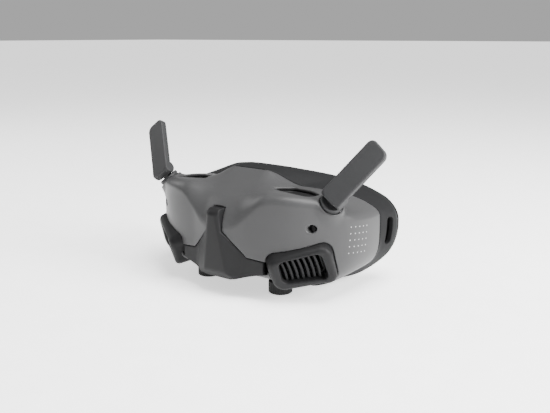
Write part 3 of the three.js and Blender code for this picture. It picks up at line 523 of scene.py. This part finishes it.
def plastic(
    name, colour, roughness, grain=0.16, depth=0.00002, spread=0.06, metallic=0.0, shine=0.2
):
    """Moulded surface: fine grain in the relief, slight wander in gloss and colour."""
    material = bpy.data.materials.new(name)
    material.use_nodes = True
    tree = material.node_tree
    shader = tree.nodes["Principled BSDF"]
    shader.inputs["Metallic"].default_value = metallic
    shader.inputs["Specular IOR Level"].default_value = shine
    place = tree.nodes.new("ShaderNodeTexCoord")
    fine = tree.nodes.new("ShaderNodeTexNoise")
    fine.inputs["Scale"].default_value = 1 / (grain * MM)
    fine.inputs["Detail"].default_value = 3
    tree.links.new(place.outputs["Object"], fine.inputs["Vector"])
    broad = tree.nodes.new("ShaderNodeTexNoise")
    broad.inputs["Scale"].default_value = BROAD_SCALE
    tree.links.new(place.outputs["Object"], broad.inputs["Vector"])
    bump = tree.nodes.new("ShaderNodeBump")
    bump.inputs["Strength"].default_value = RELIEF
    bump.inputs["Distance"].default_value = depth
    tree.links.new(fine.outputs["Fac"], bump.inputs["Height"])
    tree.links.new(bump.outputs["Normal"], shader.inputs["Normal"])
    gloss = tree.nodes.new("ShaderNodeMapRange")
    gloss.inputs["To Min"].default_value = roughness - spread
    gloss.inputs["To Max"].default_value = roughness + spread
    tree.links.new(broad.outputs["Fac"], gloss.inputs["Value"])
    tree.links.new(gloss.outputs["Result"], shader.inputs["Roughness"])
    tint = tree.nodes.new("ShaderNodeMix")
    tint.data_type = "RGBA"
    tint.inputs["A"].default_value = (*[c * 0.94 for c in colour], 1)
    tint.inputs["B"].default_value = (*[min(1, c * 1.06) for c in colour], 1)
    tree.links.new(broad.outputs["Fac"], tint.inputs["Factor"])
    tree.links.new(tint.outputs["Result"], shader.inputs["Base Color"])
    return material


def finish_materials():
    return {
        "shell_grey": plastic("shell_grey", (0.0405, 0.0405, 0.0412), 0.38),
        "dark_grey": plastic("dark_grey", (0.0085, 0.0085, 0.0089), 0.50, shine=0.14),
        "antenna_grey": plastic(
            "antenna_grey", (0.0250, 0.0252, 0.0260), 0.52, grain=0.22, shine=0.16
        ),
        "mask_grey": plastic("mask_grey", (0.0085, 0.0086, 0.0090), 0.66, grain=0.3, shine=0.1),
        "foam": plastic("foam", (0.009, 0.009, 0.0095), 0.92, grain=0.6, depth=0.0002),
        "black_plastic": plastic("black_plastic", (0.003, 0.003, 0.0032), 0.6),
        "knob_black": plastic("knob_black", (0.0070, 0.0070, 0.0073), 0.5, grain=0.2),
        "steel": plastic("steel", (0.30, 0.30, 0.31), 0.36, spread=0.04, metallic=1.0),
        "aluminium": plastic("aluminium", (0.45, 0.45, 0.46), 0.36, spread=0.04, metallic=1.0),
        "board": plastic("board", (0.01, 0.045, 0.025), 0.5),
        "dark_glass": plastic(
            "dark_glass", (0.001, 0.001, 0.0012), 0.2, shine=0.06, spread=0.02, depth=0.000002
        ),
        "lens_glass": plastic(
            "lens_glass", (0.012, 0.014, 0.018), 0.05, spread=0.02, depth=0.000002
        ),
        "dot_white": plastic("dot_white", (0.36, 0.36, 0.36), 0.5),
    }


FINISH = finish_materials()
SLOT_OF = {s["node"]: s["material_slot"] for s in frame["record"]["subparts"]}
BODY_OF = {n: b for b, ns in frame["record"]["behaviour"]["bodies"].items() for n in ns}


def dress(obj, slot):
    obj.data.materials.clear()
    obj.data.materials.append(FINISH[slot])


def stand_in(obj, node):
    """Marks obj as the fine form of a CAD node."""
    dress(obj, SLOT_OF[node])
    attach(obj, BODY_OF[node])
    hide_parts(node)


def build_pair(node, field, low, high, step):
    right = mesh_field(f"{node}_right_skin", field, low, high, step)
    left = mirrored(right, f"{node}_left_skin")
    stand_in(right, f"{node}_right")
    stand_in(left, f"{node}_left")
    return right, left


LENS_SAG_SHARE = 0.75


def eyepiece_lens(node):
    """A polished biconvex lens filling the CAD lens's own box."""
    low, high = (np.array(c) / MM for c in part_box(node))
    centre, radius, half = (low + high) / 2, (high[0] - low[0]) / 2, (high[1] - low[1]) / 2
    sag = LENS_SAG_SHARE * half
    bend = (radius**2 + sag**2) / (2 * sag)
    shift = bend - half

    def field(x, y, z):
        dx, dy, dz = x - centre[0], y - centre[1], z - centre[2]
        around = np.hypot(dx, dz)
        front = np.hypot(around, dy - shift) - bend
        back = np.hypot(around, dy + shift) - bend
        return common(common(front, back, 0.2), around - radius, 0.4)

    return mesh_field(f"{node}_skin", field, low - 1.2, high + 1.2, 0.35)


def corners(node, margin=1.5):
    low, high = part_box(node)
    return [c / MM - margin for c in low], [c / MM + margin for c in high]


def build_rigid_pieces():
    low, high = corners("front_shell", 2.5)
    stand_in(mesh_field("front_shell_skin", front_shell, low, high, 0.6), "front_shell")
    low, high = corners("centre_cover")
    stand_in(mesh_field("centre_cover_skin", centre_cover, low, high, 0.5), "centre_cover")
    pieces = (
        ("vent_bezel", vent_bezel, 0.45),
        ("vent_louvres", vent_louvres, 0.35),
        ("top_vent_grille", top_grille, 0.4),
        ("antenna_base", antenna_base, 0.32),
        ("antenna_front", antenna_front, 0.4),
        ("antenna_back", antenna_back, 0.4),
        ("diopter_knob", knob, 0.22),
    )
    for side, _ in SIDES:
        node = f"eyepiece_lens_{side}"
        stand_in(eyepiece_lens(node), node)
    for node, field, step in pieces:
        low, high = corners(f"{node}_right", 1.8)
        build_pair(node, field, low, high, step)


# ---- face mask and foam -----------------------------------------------------------------------
# Half of the rim, from the middle of the brow round the side to the middle of the nose.
RIM_HALF = [
    (0, 12, 78.5), (18.3, 18.9, 76.6), (38.3, 28.4, 73.3), (53.3, 36.4, 68.9),
    (66, 41, 63.4), (75.5, 44, 57.6), (82, 45, 49.6), (83.8, 45, 41), (82.6, 45, 30.5),
    (78.6, 44, 20.4), (69.5, 38, 10.4), (58, 33, 2.8), (46, 29, -0.2), (34, 24.5, 3),
    (24, 19, 12), (13.5, 12, 24), (0, 8, 30),
]


def catmull_rom(a, b, c, d, t):
    """A curve from b at t = 0 to c at t = 1, steered by a and d."""
    return b + 0.5 * t * (c - a + t * (2 * a - 5 * b + 4 * c - d + t * (3 * (b - c) + d - a)))


def rim_points(turns):
    """Points of the mask's rim: a Catmull-Rom curve through the rim's own points."""
    ring = RIM_HALF + [(-x, y, z) for x, y, z in reversed(RIM_HALF[1:-1])]
    ring = np.array(ring, float)
    count = len(ring)
    place = turns * count
    index = np.floor(place).astype(int)
    t = (place - index)[:, None]
    a, b, c, d = (ring[(index + k) % count] for k in (-1, 0, 1, 2))
    return catmull_rom(a, b, c, d, t)


def outward(turns):
    angle = turns * 2 * math.pi
    normal = np.stack([np.sin(angle) / HALF_WIDTH, 0 * angle, np.cos(angle) / SIDE_HEIGHT], 1)
    return normal / np.linalg.norm(normal, axis=1, keepdims=True)


SEAM_CENTRE_Z, SEAM_OVERLAP = 42, 0.1


def seam_points(turns):
    """Where the mask meets the shell's rear edge, found by halving the span to it."""
    angle = turns * 2 * math.pi
    direction = np.stack([HALF_WIDTH * np.sin(angle), SIDE_HEIGHT * np.cos(angle)], 1)
    direction /= np.linalg.norm(direction, axis=1, keepdims=True)
    near = np.full(len(turns), 5.0)
    far = np.full(len(turns), 120.0)
    for _ in range(HALVINGS):
        middle = (near + far) / 2
        x, z = direction[:, 0] * middle, SEAM_CENTRE_Z + direction[:, 1] * middle
        inside = body(x, seam_y(x), z) < 0
        near = np.where(inside, middle, near)
        far = np.where(inside, far, middle)
    x, z = direction[:, 0] * near, SEAM_CENTRE_Z + direction[:, 1] * near
    return np.stack([x, seam_y(x) - SEAM_OVERLAP, z], 1)


def ring_mesh(name, turns, rows):
    """A closed ring from rows of points, one row for each station across its wall."""
    count, stations = len(turns), len(rows)
    points = np.concatenate(rows)
    i, j = np.meshgrid(np.arange(count), np.arange(stations), indexing="ij")
    i2, j2 = (i + 1) % count, (j + 1) % stations
    corners_of = [j * count + i, j2 * count + i, j2 * count + i2, j * count + i2]
    quads = np.stack([c.ravel() for c in corners_of], 1)
    return new_object(name, points, quads)


def spline(points, per_span):
    """A smooth closed profile through a few points."""
    points = np.array(points, float)
    count = len(points)
    result = []
    for k in range(count):
        a, b, c, d = (points[(k + m) % count] for m in (-1, 0, 1, 2))
        for s in range(per_span):
            result.append(catmull_rom(a, b, c, d, s / per_span))
    return result


# Across the mask's wall: share of the way from seam to rim, step back, step inward.
MASK_PROFILE = [
    (0, 0, 0.1), (0.25, 0, -0.5), (0.5, 0, -1), (0.8, 0, -0.8), (1, -1, 0), (1, 0.6, 0.5),
    (1, 1.6, 1.6), (1, 2, 4), (1, 2, 8), (1, 1.6, 10.7), (1, 0.6, 10.9), (1, 0, 9),
    (1, -0.4, 4), (0.8, -0.6, 2.4), (0.5, 0, 1.2), (0.25, 0, 1.7), (0, 0, 2.1),
]
MASK_STATIONS = 420


def face_mask():
    turns = np.arange(MASK_STATIONS) / MASK_STATIONS
    seam, rim, out = seam_points(turns), rim_points(turns), outward(turns)
    rows = []
    for share, back, inward in spline(MASK_PROFILE, 3):
        row = seam + (rim - seam) * np.clip(share, 0, 1) - out * inward
        row[:, 1] += back
        rows.append(row)
    return ring_mesh("face_mask_skin", turns, rows)


# Across the foam: step inward, step back.
FOAM_SECTION = [
    (0, 2.5), (2, 3.65), (5, 4.0), (8, 3.65), (9.5, 2.5),
    (9.5, 1.2), (8, 0), (5, 0), (2, 0), (0, 1.2),
]
FOAM_STATIONS, FOAM_INSET, FOAM_BACK = 360, 1.6, 2


def foam_pad():
    turns = np.arange(FOAM_STATIONS) / FOAM_STATIONS
    rim, out = rim_points(turns), outward(turns)
    rows = []
    for inward, back in spline(FOAM_SECTION, 3):
        row = rim - out * (FOAM_INSET + inward)
        row[:, 1] += FOAM_BACK + back
        rows.append(row)
    return ring_mesh("foam_pad_skin", turns, rows)


# The strap's slot through the mask's side and the step ahead of it: low, high, corner radius.
STRAP_CUTS = (
    ("slot", (60, 31.3, 29), (95, 37.5, 48), 2.6),
    ("step", (83, 27.5, 29.5), (95, 32, 47.5), 1.5),
)


def build_soft_pieces():
    mask = face_mask()
    for _, sign in SIDES:
        for name, low, high, radius in STRAP_CUTS:
            near, far = (low[0] * sign, *low[1:]), (high[0] * sign, *high[1:])
            carve(mask, block(name, near, far, radius))
    stand_in(mask, "face_mask")
    foam = foam_pad()
    stand_in(foam, "foam_pad")


def block(name, low, high, radius):
    """A cutting block whose edges along x are rounded."""
    bm = bmesh.new()
    bmesh.ops.create_cube(bm, size=1)
    size = [abs(b - a) * MM for a, b in zip(low, high)]
    centre = [(a + b) / 2 * MM for a, b in zip(low, high)]
    bmesh.ops.scale(bm, vec=size, verts=bm.verts)
    bmesh.ops.translate(bm, vec=centre, verts=bm.verts)
    along_x = [e for e in bm.edges if abs((e.verts[0].co - e.verts[1].co).x) > 1e-6]
    bmesh.ops.bevel(bm, geom=along_x, offset=radius * MM, segments=5, affect="EDGES", profile=0.5)
    mesh = bpy.data.meshes.new(name)
    bm.to_mesh(mesh)
    bm.free()
    obj = bpy.data.objects.new(name, mesh)
    bpy.context.scene.collection.objects.link(obj)
    return obj


def carve(obj, cutter):
    modifier = obj.modifiers.new("cut", "BOOLEAN")
    modifier.operation = "DIFFERENCE"
    modifier.solver = "EXACT"
    modifier.object = cutter
    bpy.context.view_layer.update()
    graph = bpy.context.evaluated_depsgraph_get()
    mesh = bpy.data.meshes.new_from_object(obj.evaluated_get(graph))
    obj.modifiers.clear()
    obj.data = mesh
    bpy.data.objects.remove(cutter)


# ---- touch panel dots -------------------------------------------------------------------------
DOT_ROWS, DOT_SIDES, DOT_RADIUS, DOT_RELIEF = 5, 12, 0.42, 0.06
DOT_FIRST = (-7.7, 49.3)
DOT_COLUMN_SPAN, DOT_ROW_SPAN = (14.9, 1.6), (1.4, 16.8)


def touch_dots():
    """Five by five small dots printed on the right side of the shell."""
    points, faces = [], []
    last = DOT_ROWS - 1
    for row in range(DOT_ROWS):
        for column in range(DOT_ROWS):
            y = DOT_FIRST[0] + DOT_COLUMN_SPAN[0] * column / last - DOT_ROW_SPAN[0] * row / last
            z = DOT_FIRST[1] - DOT_COLUMN_SPAN[1] * column / last - DOT_ROW_SPAN[1] * row / last
            centre, normal = on_shell(y, z)
            first = unit(*np.cross(normal, [0, 0, 1]))
            second = np.cross(first, normal)
            start = len(points)
            points.append(centre + normal * DOT_RELIEF)
            for k in range(DOT_SIDES):
                angle = 2 * math.pi * k / DOT_SIDES
                rim = first * math.cos(angle) + second * math.sin(angle)
                points.append(centre + normal * DOT_RELIEF + rim * DOT_RADIUS)
                faces.append((start, start + 1 + (k + 1) % DOT_SIDES, start + 1 + k))
    return new_object("touch_dots", points, faces)


def on_shell(y, z):
    """The point of the shell's right side at a given depth and height, with its normal."""
    near, far = 40.0, 100.0
    for _ in range(HALVINGS):
        middle = (near + far) / 2
        if body(middle, y, z) < 0:
            near = middle
        else:
            far = middle
    return np.array([near, y, z]), unit(*differences(body, near, y, z, 0.1))


def build_touch_dots():
    """The dots ride the headset in the shell's slot, with a white finish of their own."""
    dots = touch_dots()
    dress(dots, "shell_grey")
    dots.data.materials[0] = FINISH["dot_white"]
    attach(dots, "headset")


# ---- the rest of the CAD nodes -----------------------------------------------------------------
BEVEL_WIDTH, BEVEL_ANGLE = 0.25, 32


def dress_frame():
    for name, obj in frame["nodes"].items():
        if obj.hide_render:
            continue
        dress(obj, SLOT_OF[name])
        bevel = obj.modifiers.new("edge", "BEVEL")
        bevel.width = BEVEL_WIDTH * MM
        bevel.segments = 2
        bevel.limit_method = "ANGLE"
        bevel.angle_limit = math.radians(BEVEL_ANGLE)


# ---- studio, in metres --------------------------------------------------------------------------
FLOOR_SIZE, FLOOR_DROP, FLOOR_GLOW, WORLD_GLOW = 40, 0.3 * MM, 1.1, 0.45
SOFTBOXES = (
    ("left_box", (-0.95, -0.10, 0.55), 0.5, 3),
    ("right_box", (0.90, 0.10, 0.45), 0.45, 24),
    ("top_box", (0.30, -0.05, 1.0), 0.6, 24),
)
SOFTBOX_AIM = (0, 0, 0.045)
CAMERA_LENS, CAMERA_SENSOR = 45.82, 36
CAMERA_PLACE = (0.2837, -0.3773, 0.1654)
CAMERA_RIGHT = unit(0.8128, 0.5826, 0)
CAMERA_UP = unit(-0.1384, 0.1930, 0.9714)
CAMERA_BEHIND = unit(0.5659, -0.7895, 0.2375)


def pale_floor():
    bpy.ops.mesh.primitive_plane_add(size=FLOOR_SIZE, location=(0, 0, -FLOOR_DROP))
    floor = bpy.context.object
    floor.name = "floor"
    pale = plastic("floor_white", (0.93, 0.93, 0.93), 0.9)
    glow = pale.node_tree.nodes["Principled BSDF"].inputs
    glow["Emission Color"].default_value = (1, 1, 1, 1)
    glow["Emission Strength"].default_value = FLOOR_GLOW
    floor.data.materials.append(pale)


def pale_world():
    world = bpy.data.worlds.new("studio")
    world.use_nodes = True
    background = world.node_tree.nodes["Background"].inputs
    background["Color"].default_value = (1, 1, 1, 1)
    background["Strength"].default_value = WORLD_GLOW
    bpy.context.scene.world = world


def softbox(name, place, size, power):
    data = bpy.data.lights.new(name, "AREA")
    data.shape = "SQUARE"
    data.size = size
    data.energy = power
    light = bpy.data.objects.new(name, data)
    light.location = place
    aim = Vector(SOFTBOX_AIM) - Vector(place)
    light.rotation_euler = aim.to_track_quat("-Z", "Y").to_euler()
    bpy.context.scene.collection.objects.link(light)


def place_camera():
    data = bpy.data.cameras.new("camera")
    data.lens = CAMERA_LENS
    data.sensor_width = CAMERA_SENSOR
    camera = bpy.data.objects.new("camera", data)
    bpy.context.scene.collection.objects.link(camera)
    columns = (CAMERA_RIGHT, CAMERA_UP, CAMERA_BEHIND, CAMERA_PLACE)
    rows = [tuple(column[i] for column in columns) for i in range(3)]
    camera.matrix_world = Matrix(rows + [(0, 0, 0, 1)])
    bpy.context.scene.camera = camera


def studio():
    pale_floor()
    pale_world()
    for name, place, size, power in SOFTBOXES:
        softbox(name, place, size, power)
    place_camera()


build_rigid_pieces()
build_soft_pieces()
build_touch_dots()
dress_frame()
studio()
